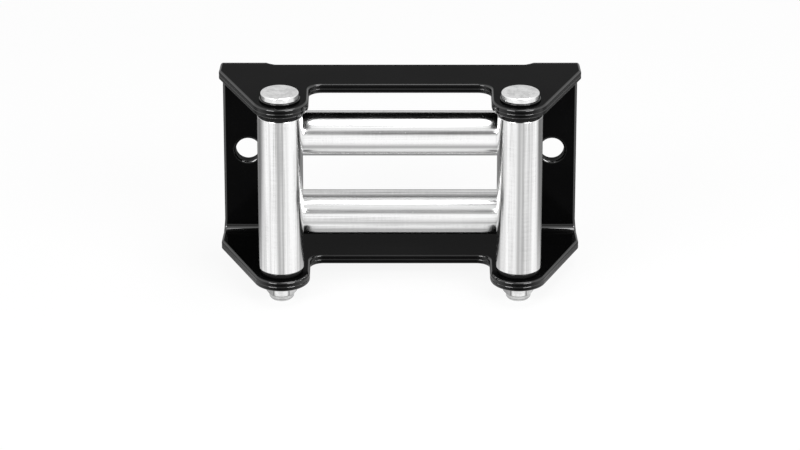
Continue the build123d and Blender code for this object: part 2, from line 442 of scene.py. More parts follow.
class FAIRLEAD_PG_sizes(bpy.types.PropertyGroup):
    """Sizes that finish the pieces without changing how they fit."""

    sheet_edge: a_length("Sheet edge", "Radius of the painted sheet's cut edges", 0.0010)
    hole_edge: a_length("Hole edge", "Radius of the mounting holes' rims", 0.0012)
    roller_edge: a_length("Roller edge", "Radius at the ends of each roller tube", 0.0004)
    bush_edge: a_length("Bush edge", "Radius of the bush flange's rim", 0.0004)
    washer_edge: a_length("Washer edge", "Radius of the washer's rim", 0.00045)
    head_edge: a_length("Pin head edge", "Radius of the pin head's rim", 0.0008)
    nut_edge: a_length("Nut edge", "Radius of the lock nut's corners", 0.0003)


class FAIRLEAD_PG_look(bpy.types.PropertyGroup):
    """Colours and gloss of the finishes."""

    paint: a_colour("Paint", "Black powder coat", (0.0024, 0.0024, 0.0025))
    paint_roughness: a_share("Paint roughness", "Roughness of the powder coat", 0.13)
    paint_specular: a_share("Paint specular", "Reflections of the powder coat on its flats", 0.015)
    paint_coat: a_share("Paint coat", "Gloss of the powder coat along its edges and bends", 1.0)
    coat_ior: a_number("Paint coat index", "Refractive index of the gloss coat", 2.0, 1.0, max=3.0)
    steel: a_colour("Roller steel", "Bright drawn tube", (0.97, 0.97, 0.97))
    streak_and_reflection_tone: a_share("Streaks", "Brightness of the steel in the dark lines along the tubes", 0.35)
    steel_roughness: a_share("Steel roughness", "Roughness of the roller tubes", 0.17)
    zinc: a_colour("Zinc", "Zinc plate of the pins", (0.97, 0.97, 0.97))
    nut_zinc: a_colour("Nut zinc", "Duller zinc plate of the lock nuts", (0.90, 0.90, 0.90))
    zinc_roughness: a_share("Zinc roughness", "Roughness of the zinc plate", 0.21)
    nylon: a_colour("Black nylon", "Bushes and washers", (0.0015, 0.0015, 0.0015))
    insert: a_colour("Insert", "The lock nuts' nylon rings", (0.78, 0.79, 0.76))


class FAIRLEAD_PG_studio(bpy.types.PropertyGroup):
    """Floor, lamps and camera."""

    floor: a_colour("Floor", "Colour of the floor", (0.95, 0.95, 0.95))
    front_power: a_number("Front lamps", "Power of each of the two front lamps", 10.0, unit="POWER")
    top_power: a_number("Top lamp", "Power of the overhead lamp", 5.0, unit="POWER")
    world: a_share("World light", "Level of the light from all round", 0.25)
    floor_glow: a_share("Floor in gloss", "How far the floor shows unshaded in reflections", 0.88)
    floor_rear: a_share("Floor behind in gloss", "Level of the floor behind, in reflections", 0.15)
    behind: a_share("Panels behind", "Level of what lies behind the object, in reflections", 0.7)
    gap: a_share("Front gap", "Level of the gap between the front panels, in reflections", 0.32)
    distance: a_length("Camera distance", "From the camera to the point it looks at", 1.885)
    pitch: a_number("Camera pitch", "How far the camera looks down", np.radians(23.9), subtype="ANGLE")
    lens: a_number("Lens", "Focal length in millimetres", 201.7, subtype="DISTANCE_CAMERA")


def user_settings():
    """The user's sizes and look."""
    scene = bpy.context.scene
    return scene.fairlead_sizes, scene.fairlead_look


# Bracket, in millimetres

SHEET = 4.2
HALF_HEIGHT = 40.7
INNER_BEND = 2.8
FLANGE_BEND = 8.6
FLANGE_LINE = HALF_HEIGHT - FLANGE_BEND
FLANGE_ARC = FLANGE_BEND * np.pi / 2
FLANGE_START = FLANGE_LINE + FLANGE_ARC - FLANGE_BEND
TAB_BEND = 7.0
TAB_LINE = 53.8
TAB_END = TAB_LINE - TAB_BEND * np.pi / 2
PLATE_HALF = 74.2
HIP = (75.3, 15.8)
HIP_ROUND = 2.0
EAR = (49.25, 47.2)
EAR_RADIUS = 11.8
NOTCH_DEPTH = 30.8
NOTCH_ROUND = 5.5
WINDOW_DEPTH = 8.7
WINDOW_ROUND = 4.0
WINDOW_EDGE = 0.6
WING_X = 55.4
RELIEF_ROUND = 1.4
TAB_FRONT = 36.4
TAB_HALF = 27.5
TAB_ROUND = 6.0
LEVEL_PIN = (28.2, 17.85)
PIN_HOLE = 4.15
PIN_HOLE_EDGE = 0.3
BOLT_X = 64.0
BOLT_HOLE = 5.1
BOLT_HOLE_REAR_EDGE = 0.15
SHEAR_DEPTH = 0.16
SHEAR_HALF = 0.32
POINT_STEP = 0.7
SAME_POINT = 0.0001

# How finely the bracket is divided, and the first number of the tabs' bend rows

BEND_ROWS = 14
TAB_ROWS = 100
EDGE_STEPS = 8
HOLE_STEPS = 72
LEAST_STEPS = 6

# How far the paint's gloss film covers the bends, the cut edges at the front and the walls at the sides, and
# how far it pales the paint there as a painted highlight

BEND_GLOSS = 0.85
FRONT_GLOSS = 0.4
SIDE_GLOSS = 0.7


def run(start, end, shares=(0.0, 1.0), side=1, first_row=None):
    """Points at the given shares of a straight side, its normal and each point's bend row, or -1.

    The normal points to the right of the run, or to its left where side is -1.
    """
    start, end, shares = np.array(start, float), np.array(end, float), np.asarray(shares)
    points = start + (end - start) * shares[:, None]
    normal = side * unit(np.array((end[1] - start[1], start[0] - end[0])))
    number = np.full(len(points), -1) if first_row is None else np.arange(len(points)) + first_row
    return points, np.broadcast_to(normal, points.shape), number


def turn(centre, radius, angles, side=1, numbers=None):
    """An arc as run gives a side; its normal is the spoke, or points to the centre where side is -1.

    Its points are at the given degrees, or about every POINT_STEP millimetres between the given two.
    """
    if len(angles) == 2:
        length = abs(np.radians(angles[1] - angles[0])) * radius
        angles = np.linspace(*angles, max(int(length / POINT_STEP), LEAST_STEPS) + 1)
    angles = np.radians(angles)
    spoke = np.column_stack((np.cos(angles), np.sin(angles)))
    points = np.array(centre) + radius * spoke
    return points, side * spoke, np.full(len(points), -1) if numbers is None else numbers


def joined(parts):
    """Runs and turns one after another. Points that fall together become one, with the row of either."""
    points, normals, numbers = (np.concatenate(column) for column in zip(*parts))
    new = np.append(True, np.linalg.norm(np.diff(points, axis=0), axis=1) > SAME_POINT)
    kept = np.full(new.sum(), -1)
    np.maximum.at(kept, np.cumsum(new) - 1, numbers)
    return points[new], normals[new], kept


# The signs of across and up in the blank's four quarters, anticlockwise
QUARTERS = ((1, 1), (-1, 1), (-1, -1), (1, -1))


def all_round(points, normals, numbers):
    """A quarter of a loop, from the x axis to the y axis, mirrored into the other three quarters."""
    quarters = []
    for sx, sy in QUARTERS:
        part = np.column_stack((points * (sx, sy), normals * (sx, sy), numbers))
        quarters.append(part[:-1] if sx == sy else part[:0:-1])
    loop = np.concatenate(quarters)
    return loop[:, :2], loop[:, 2:4], loop[:, 4].astype(int)


def outer_edge(ear, rows):
    """A quarter of the blank's outer edge, from the side of the wing round the ear to the notch.

    Between the rounded hip and the ear it is the straight line that touches the ear's arc.
    """
    hip = np.array((HIP[0], FLANGE_START + HIP[1]))
    side = np.array((PLATE_HALF, FLANGE_LINE))
    notch, notch_x = FLANGE_START + NOTCH_DEPTH, EAR[0] - EAR_RADIUS
    to_ear = ear - hip
    lean = np.degrees(np.arctan2(to_ear[1], to_ear[0]) - np.arcsin(EAR_RADIUS / np.hypot(*to_ear)))
    ear_turn = np.radians(lean - 90)
    ear_start = ear + EAR_RADIUS * np.array((np.cos(ear_turn), np.sin(ear_turn)))
    hip_points, hip_normals, _ = rounded(np.array((side, hip, ear_start)), HIP_ROUND, EDGE_STEPS, False)
    bend_share = FLANGE_ARC / (hip[1] - side[1])
    return joined((
        run((PLATE_HALF, 0), side),
        run(side, side + (hip - side) * bend_share, rows, first_row=0),
        (hip_points[1:-1], hip_normals[1:-1], np.full(len(hip_points) - 2, -1)),
        turn(ear, EAR_RADIUS, (lean - 90, 180)),
        turn((notch_x - NOTCH_ROUND, notch + NOTCH_ROUND), NOTCH_ROUND, (0, -90), -1),
        run((notch_x - NOTCH_ROUND, notch), (0, notch)),
    ))


def inner_edge(rows):
    """A quarter of the blank's inner edge, from the tab's front round its relief slot to the window.

    The window's corner begins inside the flange's bend, so its points there lie on the bend's rows.
    """
    levels = FLANGE_LINE + FLANGE_ARC * rows
    window = FLANGE_START + WINDOW_DEPTH
    corner_start = window - WINDOW_ROUND
    straight = levels[levels < corner_start]
    curved = levels[levels >= corner_start]
    angles = np.degrees(np.arcsin((curved - corner_start) / WINDOW_ROUND))
    numbers = np.append(np.arange(len(straight), BEND_ROWS + 1), np.full(LEAST_STEPS, -1))
    angles = np.append(angles, np.linspace(angles[-1], 90, LEAST_STEPS + 1)[1:])
    lower_shares = (straight - straight[0]) / (straight[-1] - straight[0])
    corner = (WING_X - WINDOW_ROUND, corner_start)
    front = TAB_END - (TAB_FRONT - TAB_BEND)
    return joined((
        run((front, 0), (front, TAB_HALF - TAB_ROUND), side=-1),
        turn((front + TAB_ROUND, TAB_HALF - TAB_ROUND), TAB_ROUND, (180, 90)),
        run((TAB_END, TAB_HALF), (TAB_LINE, TAB_HALF), rows, -1, TAB_ROWS),
        turn((WING_X - RELIEF_ROUND, TAB_HALF + RELIEF_ROUND), RELIEF_ROUND, (-90, 0), -1),
        run((WING_X, straight[0]), (WING_X, straight[-1]), lower_shares, -1, 0),
        turn(corner, WINDOW_ROUND, np.append(0, angles), -1, np.append(-1, numbers)),
        run((WING_X - WINDOW_ROUND, window), (0, window), side=-1),
    ))


def blank_loops(sheet_edge, hole_edge):
    """Every edge of the flat blank: points, normals towards the air, bend rows and the edge's two radii.

    The blank lies in (across, up). A flange's depth y is at FLANGE_START + y, past the arc of its bend.
    """
    rows = np.linspace(0, 1, BEND_ROWS + 1)
    ear = np.array((EAR[0], FLANGE_START + EAR[1]))
    tab_pin = (TAB_END - (LEVEL_PIN[0] - TAB_BEND), LEVEL_PIN[1])
    window_edge = sheet_edge * WINDOW_EDGE
    loops = [
        (*all_round(*outer_edge(ear, rows)), (sheet_edge, sheet_edge)),
        (*all_round(*inner_edge(rows)), (window_edge, window_edge)),
    ]
    for centre, radius, edges, signs in (
        ((BOLT_X, 0), BOLT_HOLE, (BOLT_HOLE_REAR_EDGE, hole_edge), QUARTERS[:2]),
        (ear, PIN_HOLE, (PIN_HOLE_EDGE, PIN_HOLE_EDGE), QUARTERS),
        (tab_pin, PIN_HOLE, (PIN_HOLE_EDGE, PIN_HOLE_EDGE), QUARTERS),
    ):
        ring, *rest = turn((0, 0), radius, np.linspace(0, 360, HOLE_STEPS, endpoint=False), -1)
        for sign in signs:
            loops.append((np.array(centre) * sign + ring, *rest, edges))
    return loops


def bent(past, arm, through):
    """How far on and how far down a point past a bend line comes, and how far the sheet has turned there.

    The outer face turns on a radius of arm, and the inner one on INNER_BEND, after a short straight
    where the sheet is thinned. A point part way through the sheet lies between its two faces.
    """
    thinned = arm - SHEET - INNER_BEND
    share = np.clip(past / (arm * np.pi / 2), 0, 1)
    outer_turn = share * np.pi / 2
    along = share * (2 * thinned + INNER_BEND * np.pi / 2)
    inner_turn = np.clip((along - thinned) / INNER_BEND, 0, np.pi / 2)
    after = np.maximum(along - thinned - INNER_BEND * np.pi / 2, 0)
    inner_on = np.minimum(along, thinned) + INNER_BEND * np.sin(inner_turn)
    inner_in = SHEET + INNER_BEND * (1 - np.cos(inner_turn)) + after
    beyond = np.maximum(past - arm * np.pi / 2, 0)
    on = (1 - through) * arm * np.sin(outer_turn) + through * inner_on
    down = (1 - through) * arm * (1 - np.cos(outer_turn)) + through * inner_in + beyond
    return on, down, (1 - through) * outer_turn + through * inner_turn


def folded(blank, normals):
    """The blank's points and normals carried into the bent bracket: flanges about x, then tabs about z."""
    across, up, depth = blank.T
    na, nu, nd = normals.T
    sx, sz, through = np.sign(across), np.sign(up), depth / SHEET
    x, y, z = across, -depth, up
    nx, ny, nz = na, -nd, nu
    past = np.abs(up) - FLANGE_LINE
    on, down, angle = bent(past, FLANGE_BEND, through)
    flange = past > 0
    y = np.where(flange, -down, y)
    z = np.where(flange, sz * (FLANGE_LINE + on), z)
    ny = np.where(flange, -sz * nu * np.sin(angle) - nd * np.cos(angle), ny)
    nz = np.where(flange, nu * np.cos(angle) - sz * nd * np.sin(angle), nz)
    past = TAB_LINE - np.abs(across)
    on, down, angle = bent(past, TAB_BEND, through)
    tab = (past > 0) & (np.abs(up) < TAB_HALF + RELIEF_ROUND / 2)
    x = np.where(tab, sx * (TAB_LINE - on), x)
    y = np.where(tab, -down, y)
    nx = np.where(tab, na * np.cos(angle) + sx * nd * np.sin(angle), nx)
    ny = np.where(tab, sx * na * np.sin(angle) - nd * np.cos(angle), ny)
    return np.column_stack((x, y, z)) * MM, np.column_stack((nx, ny, nz))


def rim_profile(rear, front, sheared):
    """A cut edge through the sheet: inset, depth, the normal's parts outward and through, and edge share.

    It is a quarter round at each face and a wall between. A sheared wall has a shallow line along its
    middle, inset by SHEAR_DEPTH * (1 + cos(pi t)) / 2 where t runs from -1 to 1 over its width.
    """
    angle = np.linspace(0, np.pi / 2, EDGE_STEPS + 1)
    out, edge = np.sin(angle), np.sin(angle * 2) ** 2
    rear_part = (rear * (1 - out), rear * (1 - np.cos(angle)), out, -np.cos(angle), edge)
    front_part = (front * (1 - out), SHEET - front * (1 - np.cos(angle)), out, np.cos(angle), edge)
    parts = [np.array(rear_part), np.array(front_part)[:, ::-1]]
    if sheared:
        t = np.linspace(-1, 1, EDGE_STEPS + 1)
        inset, depth = SHEAR_DEPTH * (1 + np.cos(np.pi * t)) / 2, SHEET / 2 + SHEAR_HALF * t
        slope = -SHEAR_DEPTH * np.pi / 2 / SHEAR_HALF * np.sin(np.pi * t)
        out = 1 / np.hypot(1, slope)
        parts.insert(1, np.array((inset, depth, out, slope * out, np.abs(np.sin(np.pi * t)))))
    return np.concatenate(parts, axis=1)


def inside(points, loops):
    """Whether each point lies in the blank: a ray to the right crosses its edges an odd number of times."""
    crossings = np.zeros(len(points), int)
    px, py = points[:, :1], points[:, 1:]
    for loop in loops:
        (ax, ay), (bx, by) = loop.T, np.roll(loop, -1, axis=0).T
        spans = (ay > py) != (by > py)
        with np.errstate(divide="ignore", invalid="ignore"):
            meets = ax + (py - ay) * (bx - ax) / (by - ay)
        crossings += (spans & (px < meets)).sum(1)
    return crossings % 2 == 1


def bend_rows(outer, inner, outer_rows, inner_rows):
    """Pairs of rim points that face each other across a bend, so that the flats' faces follow it."""
    def places(ring, rows, start):
        return {(rows[n], *np.sign(ring[n])): int(n) + start for n in np.nonzero(rows >= 0)[0]}

    across = places(inner, inner_rows, len(outer))
    pairs = [(number, across[place]) for place, number in places(outer, outer_rows, 0).items()]
    for (row, sx, sz), number in across.items():
        if row >= TAB_ROWS and sz > 0:
            pairs.append((number, across[row, sx, -sz]))
    return pairs


def flat_faces(rims, outer_rows, inner_rows):
    """Triangles between the rims, as corner numbers counted through all rims, anticlockwise.

    They are the Delaunay triangles of the rims' points that keep every rim and bend row as edges,
    apart from those whose middle lies in an opening or outside the blank.
    """
    points = np.concatenate(rims)
    edges, start = [], 0
    for rim in rims:
        number = np.arange(len(rim)) + start
        edges += np.column_stack((number, np.roll(number, -1))).tolist()
        start += len(rim)
    edges += bend_rows(rims[0], rims[1], outer_rows, inner_rows)
    result = delaunay_2d_cdt([tuple(point) for point in points.tolist()], edges, [], 0, 1e-7)
    if len(result[0]) != len(points):
        raise RuntimeError(f"the bracket's flats gained {len(result[0]) - len(points)} points")
    source = np.array([found[0] for found in result[3]])
    flats = source[np.array(result[2])]
    return flats[inside(points[flats].mean(1), rims)]


def rim_gloss_and_painted_light(edge, outward, rows, sheared):
    """How far the gloss film and the painted highlight cover each point of a rim: on its rounds, on the bends,
    and on side walls.

    On a bend it is BEND_GLOSS * sin(pi * share of the bend)^5. A sheared rim's rounds are glossier
    towards the sides, by FRONT_GLOSS + (1 - FRONT_GLOSS) * side, and its walls are SIDE_GLOSS * side^2,
    where side is how far the rim faces sideways. Its first and last points belong to the flats.
    """
    bend = np.sin(rows % TAB_ROWS / BEND_ROWS * np.pi) ** 5 * BEND_GLOSS
    gloss = np.tile(edge, (len(outward), 1))
    if sheared:
        side = np.abs(outward[:, :1])
        gloss *= FRONT_GLOSS + (1 - FRONT_GLOSS) * side
        gloss[:, 1:-1] = np.maximum(gloss[:, 1:-1], SIDE_GLOSS * side**2)
    return np.maximum(gloss, np.where(rows < 0, 0, bend)[:, None])


def rim_strip(place, outward, rows, edges, sheared):
    """A rim carried along one edge of the blank: its points, normals and gloss, by place and by step.

    Each point is place - outward * inset, at its depth in the sheet.
    """
    inset, depth, out, through, edge = rim_profile(*edges, sheared)
    flat = place[:, None] - outward[:, None] * inset[:, None]
    across = outward[:, None] * out[:, None]
    points, normals = (
        np.concatenate((pair, np.broadcast_to(third[:, None], pair.shape[:2] + (1,))), -1)
        for pair, third in ((flat, depth), (across, through))
    )
    return points, normals, rim_gloss_and_painted_light(edge, outward, rows, sheared)


class FAIRLEAD_OT_bracket(bpy.types.Operator):
    """Pressed and folded bracket with rounded edges, in black powder coat"""

    bl_idname = "fairlead.bracket"
    bl_label = "Bracket"

    def execute(self, context):
        sizes, look = user_settings()
        loops = blank_loops(sizes.sheet_edge / MM, sizes.hole_edge / MM)
        strips = [rim_strip(*loop, number < 2) for number, loop in enumerate(loops)]
        faces, rear_face, front_face, count = [], [], [], 0
        for (place, outward, _, _), (points, _, _) in zip(loops, strips):
            along, steps = points.shape[:2]
            quads = grid_faces(along, steps, True, False) + count
            step = np.roll(place, -1, axis=0) - place
            right = (step[:, 1] * outward[:, 0] - step[:, 0] * outward[:, 1]).sum() > 0
            faces.append(quads[:, ::-1] if right else quads)
            rear_face.append(np.arange(along) * steps + count)
            front_face.append(rear_face[-1] + steps - 1)
            count += along * steps
        flats = flat_faces([points[:, 0, :2] for points, _, _ in strips], loops[0][2], loops[1][2])
        faces += [np.concatenate(rear_face)[flats][:, ::-1], np.concatenate(front_face)[flats]]
        points, normals = (np.concatenate([strip[n].reshape(-1, 3) for strip in strips]) for n in (0, 1))
        points, normals = folded(points, normals)
        gloss = np.concatenate([strip[2].ravel() for strip in strips])
        piece = make_mesh("painted_bracket", points, faces, normals, gloss)
        fit(piece, black_paint(look), "base", "bracket")
        return {"FINISHED"}


# Rollers, pins and their hardware, in millimetres

END_PLAY = 0.15
TUBE_RADIUS = 9.35
TUBE_BORE = 7.35
BUSH_BORE = 4.05
BUSH_SLEEVE = 7.33
BUSH_FLANGE = 8.95
BUSH_LENGTH = 14.2
PIN_RADIUS = 4.0
THREAD_RADIUS = 3.2
THREAD_TIP = 2.6
THREAD_REACH = 7.3
THREAD_CHAMFER = THREAD_RADIUS - THREAD_TIP
SHOULDER_DEPTH = 0.3
HEAD_RADIUS = 8.1
HEAD_TOP_RADIUS = 7.9
HEAD_HEIGHT = 2.4
WASHER_RADIUS = 8.4
WASHER_BORE = 4.15
WASHER_HEIGHT = 1.0
NUT_BORE = 3.23
NUT_ACROSS_FLATS = 11.1
NUT_FACE = 5.35
NUT_LOW_SLOPE = 0.5
NUT_HIGH_SLOPE = 0.744
COLLAR_RADIUS = 5.15
COLLAR_START = 5.3
COLLAR_SHOULDER = 6.55
COLLAR_TOP = 7.6
COLLAR_RIM = 4.35
RING_SEAT = 5.7
RING_ROOM = 3.9
RING_BORE = 3.25
RING_RADIUS = 3.88
RING_TOP = 7.55


def span_of(name):
    """Half the clear distance between the supports of a roller, and half its tube's length, in mm."""
    axis = 2 if name in UPRIGHT else 0
    bushes = np.array([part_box(f"{name}_roller_{end}_bush") for end in ENDS[name]])
    tube = np.array(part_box(f"{name}_roller_tube"))
    return np.ptp(bushes[..., axis]) / 2 / MM + END_PLAY, np.ptp(tube[:, axis]) / 2 / MM


# Painted reflections along each tube, as wide dark bands: place and width as angles round it, and depth
PAINTED_REFLECTION_BANDS = {
    "left": ((-1.62, 0.11, 0.80), (-1.45, 0.05, 0.70), (-2.66, 0.09, 0.45), (-0.57, 0.08, 0.50)),
    "right": ((-1.62, 0.11, 0.80), (-1.45, 0.05, 0.70), (-2.66, 0.09, 0.45)),
    "upper": ((2.86, 0.12, 0.88), (2.50, 0.07, 0.85), (-2.00, 0.06, 0.60)),
    "lower": ((3.04, 0.06, 0.70), (2.60, 0.16, 0.60), (-1.90, 0.06, 0.80)),
}


class FAIRLEAD_OT_rollers(bpy.types.Operator):
    """The four bright roller tubes"""

    bl_idname = "fairlead.rollers"
    bl_label = "Roller tubes"

    def execute(self, context):
        sizes, look = user_settings()
        upright = drawn_steel(look, "bright_tube_upright", "z")
        level = drawn_steel(look, "bright_tube_level", "x")
        edge = sizes.roller_edge / MM
        for seed, name in enumerate(ROLLERS):
            _, half = span_of(name)
            seat = seat_of(name)
            outline = [(TUBE_RADIUS, -half), (TUBE_RADIUS, half), (TUBE_BORE, half), (TUBE_BORE, -half)]
            radii = [edge, edge, edge / 2, edge / 2]
            tube = turned(f"{name}_bright_tube", seat, outline, radii, around=240)
            mark_streaks_and_reflections(tube, seat, seed, PAINTED_REFLECTION_BANDS[name])
            steel = upright if name in UPRIGHT else level
            fit(tube, steel, f"{name}_roller", f"{name}_roller_tube")
        return {"FINISHED"}


class FAIRLEAD_OT_bushes(bpy.types.Operator):
    """Flanged bushes pressed into both ends of each roller"""

    bl_idname = "fairlead.bushes"
    bl_label = "Roller bushes"

    def execute(self, context):
        sizes, look = user_settings()
        black = nylon("black_nylon", look.nylon, 0.22)
        edge = sizes.bush_edge / MM
        radii = [0.2, 0.8, 0.05, edge, edge, 0.3]
        for name in ROLLERS:
            span, half = span_of(name)
            origin, x, y, axis = seat_of(name)
            outer = span - END_PLAY
            inner = outer - BUSH_LENGTH
            outline = [
                (BUSH_BORE, inner), (BUSH_SLEEVE, inner), (BUSH_SLEEVE, half),
                (BUSH_FLANGE, half), (BUSH_FLANGE, outer), (BUSH_BORE, outer),
            ]
            for way, end in zip((1, -1), ENDS[name]):
                seat = (origin, x, y * way, axis * way)
                bush = turned(f"{name}_{end}_bush", seat, outline, radii)
                fit(bush, black, f"{name}_roller", f"{name}_roller_{end}_bush")
        return {"FINISHED"}


class FAIRLEAD_OT_pins(bpy.types.Operator):
    """Headed pins and the black washers under their heads"""

    bl_idname = "fairlead.pins"
    bl_label = "Pins and washers"

    def execute(self, context):
        sizes, look = user_settings()
        # The pins' edges are painted brighter, a painted highlight.
        zinc = zinc_plate("satin_zinc_plate", look.zinc, look.zinc_roughness)
        black = nylon("black_washer", look.nylon, 0.16)
        rim = sizes.washer_edge / MM
        radii = [0.1, 0.1, 0.1, 0.15, 0.2, 0.25, sizes.head_edge / MM]
        for name in ROLLERS:
            span, _ = span_of(name)
            seat = seat_of(name)
            face = span + SHEET
            head = face + WASHER_HEIGHT
            top = head + HEAD_HEIGHT
            tip = -face - THREAD_REACH
            shoulder = -face + SHOULDER_DEPTH
            outline = [
                (0, tip), (THREAD_TIP, tip), (THREAD_RADIUS, tip + THREAD_CHAMFER),
                (THREAD_RADIUS, shoulder), (PIN_RADIUS, shoulder), (PIN_RADIUS, head),
                (HEAD_RADIUS, head), (HEAD_TOP_RADIUS, top), (0, top),
            ]
            pin = turned(f"{name}_zinc_pin", seat, outline, radii, closed=False)
            fit(pin, zinc, "base", f"{name}_pin")
            outline = [(WASHER_BORE, face), (WASHER_RADIUS, face), (WASHER_RADIUS, head), (WASHER_BORE, head)]
            washer = turned(f"{name}_black_washer", seat, outline, [0.1, rim, rim, 0.1])
            fit(washer, black, "base", f"{name}_pin_washer")
        return {"FINISHED"}


def hexagon_reach(angle, across_flats, corner):
    """Distance from the middle to a hexagon's side, with its six corners rounded, at each angle.

    On a flat it is half the width over flats / cos(angle from the flat's middle). Near a corner it is
    where the ray leaves a circle of radius corner that touches both flats.
    """
    apothem = across_flats / 2
    flat_angle = (angle + np.pi / 6) % (np.pi / 3) - np.pi / 6
    from_corner = np.pi / 6 - np.abs(flat_angle)
    centre = (apothem - corner) / np.cos(np.pi / 6)
    touch = np.pi / 6 - np.arctan(centre * np.sin(np.pi / 6) / apothem)
    root = np.sqrt(np.maximum(corner**2 - (centre * np.sin(from_corner)) ** 2, 0))
    rounding = centre * np.cos(from_corner) + root
    return np.where(from_corner < touch, rounding, apothem / np.cos(flat_angle))


# Painted shade of a nut's six flats, counted round from the seat's x, and of its collar, as the brightness
# each is painted with
PAINTED_FLAT_SHADES = (0.80, 1.00, 0.42, 0.85, 0.70, 0.60)
PAINTED_COLLAR_SHADE = 0.72

# How dark the painted shade line at a nut's corners is, and its half width in degrees
PAINTED_CORNER_SHADE = 0.8
PAINTED_CORNER_WIDTH = 4


def paint_flat_shades(nut, seat):
    """Writes each flat's painted shade as an attribute, with a thin line of painted shade at the hexagon's
    corners.

    A point at angle a is on flat number (a - 30 degrees) / 60 degrees, rounded, and the line's depth is
    PAINTED_CORNER_SHADE * exp(-(off / PAINTED_CORNER_WIDTH)^2), where off is the angle from the nearest
    corner.
    """
    angle, height = turned_places(nut, seat)
    sixths = (angle - np.pi / 6) / (np.pi / 3)
    number = np.round(sixths).astype(int) % 6
    from_corner = (0.5 - np.abs(sixths - np.round(sixths))) * 60
    line = PAINTED_CORNER_SHADE * np.exp(-((from_corner / PAINTED_CORNER_WIDTH) ** 2))
    tone = np.array(PAINTED_FLAT_SHADES)[number] * (1 - line)
    write_values(nut, "flat_tone", np.where(height / MM < COLLAR_START - 0.05, tone, PAINTED_COLLAR_SHADE))


class FAIRLEAD_OT_nuts(bpy.types.Operator):
    """Lock nuts with their round collars and nylon rings"""

    bl_idname = "fairlead.nuts"
    bl_label = "Lock nuts"

    def execute(self, context):
        sizes, look = user_settings()
        # The nuts' edges are painted dark, a painted shade, and each flat has its own painted shade.
        zinc = zinc_plate("dull_zinc_plate", look.nut_zinc, look.zinc_roughness, 0.08, True)
        ring = nylon("pale_nylon", look.insert, 0.42)
        angle = np.linspace(0, 2 * np.pi, 180, endpoint=False) + np.pi / 6
        reach = hexagon_reach(angle + np.pi / 6, NUT_ACROSS_FLATS, sizes.nut_edge / MM)
        outline = [
            (NUT_BORE, 0), (NUT_FACE, 0),
            (reach, (reach - NUT_FACE) * NUT_LOW_SLOPE),
            (reach, COLLAR_START - (reach - COLLAR_RADIUS) * NUT_HIGH_SLOPE),
            (COLLAR_RADIUS, COLLAR_START), (COLLAR_RADIUS, COLLAR_SHOULDER), (COLLAR_RIM, COLLAR_TOP),
            (RING_ROOM, COLLAR_TOP), (RING_ROOM, RING_SEAT), (NUT_BORE, RING_SEAT),
        ]
        corners = np.array([np.broadcast_arrays(out, up, angle)[:2] for out, up in outline])
        radii = np.array((0.1, 0.12, 0.12, 0.15, 0.12, 0.5, 0.4, 0.1, 0.1, 0.1))
        profile, _, edge_mask = rounded(corners.transpose(2, 0, 1), radii, 4)
        for name in ROLLERS:
            span, _ = span_of(name)
            origin, x, y, axis = seat_of(name)
            base = origin - axis * (span + SHEET) * MM
            spoke = (np.cos(angle)[:, None] * x - np.sin(angle)[:, None] * y)[:, None, :]
            points = base + spoke * profile[..., :1] * MM - axis * profile[..., 1:] * MM
            faces = grid_faces(len(angle), profile.shape[1], True, True)
            nut = make_mesh(f"{name}_lock_nut", points, [faces[:, ::-1]], None, edge_mask)
            weigh = nut.modifiers.new("flat_faces", "WEIGHTED_NORMAL")
            weigh.weight = 100
            seat = (base, x, -y, -axis)
            paint_flat_shades(nut, seat)
            fit(nut, zinc, "base", f"{name}_pin_nut")
            outline = [
                (RING_BORE, RING_SEAT), (RING_RADIUS, RING_SEAT),
                (RING_RADIUS, RING_TOP), (RING_BORE, RING_TOP),
            ]
            insert = turned(f"{name}_nylon_ring", seat, outline, [0.05, 0.05, 0.2, 0.2], around=96)
            fit(insert, ring, "base", f"{name}_pin_nut_insert")
        return {"FINISHED"}


# Studio, in metres

WHITE = (1, 1, 1, 1)
FLOOR_HALF = 6
FLOOR_REAR = (-0.07, 0.02)
FLOOR_SHOWN = 0.9
CAMERA_TARGET = (0, -0.020, -0.02757)
SOFTBOXES = (
    ("left_softbox", (-0.75, -0.95, 0.70), (0.7, 0.4), "front_power"),
    ("right_softbox", (0.75, -0.95, 0.70), (0.7, 0.4), "front_power"),
    ("top_softbox", (0.25, -0.15, 1.1), (0.8, 0.5), "top_power"),
)

# Where the white panels end behind and round the gap, by the x, y and z of the direction towards them

BEHIND = (-0.05, 0.55)
GAP_HEIGHT = 0.40
GAP_HALF_HEIGHT = (0.10, 0.24)
GAP_HALF_WIDTH = (0.25, 0.5)
GAP_REAR = (-0.4, -0.1)


def aim(thing, place, target):
    """Puts a lamp or the camera at a place, looking at a target."""
    thing.location = place
    thing.rotation_euler = (Vector(target) - Vector(place)).to_track_quat("-Z", "Y").to_euler()


def softbox(name, place, size, power):
    """An area lamp that looks at the origin."""
    data = bpy.data.lights.new(name, "AREA")
    data.shape, data.energy = "RECTANGLE", power
    data.size, data.size_y = size
    aim(new_object(name, data), place, (0, 0, 0))


def light_paths(s):
    """1 for rays from the camera, from a reflection and through glass, as three wires."""
    return [s.add("ShaderNodeLightPath", output=number) for number in (0, 3, 6)]


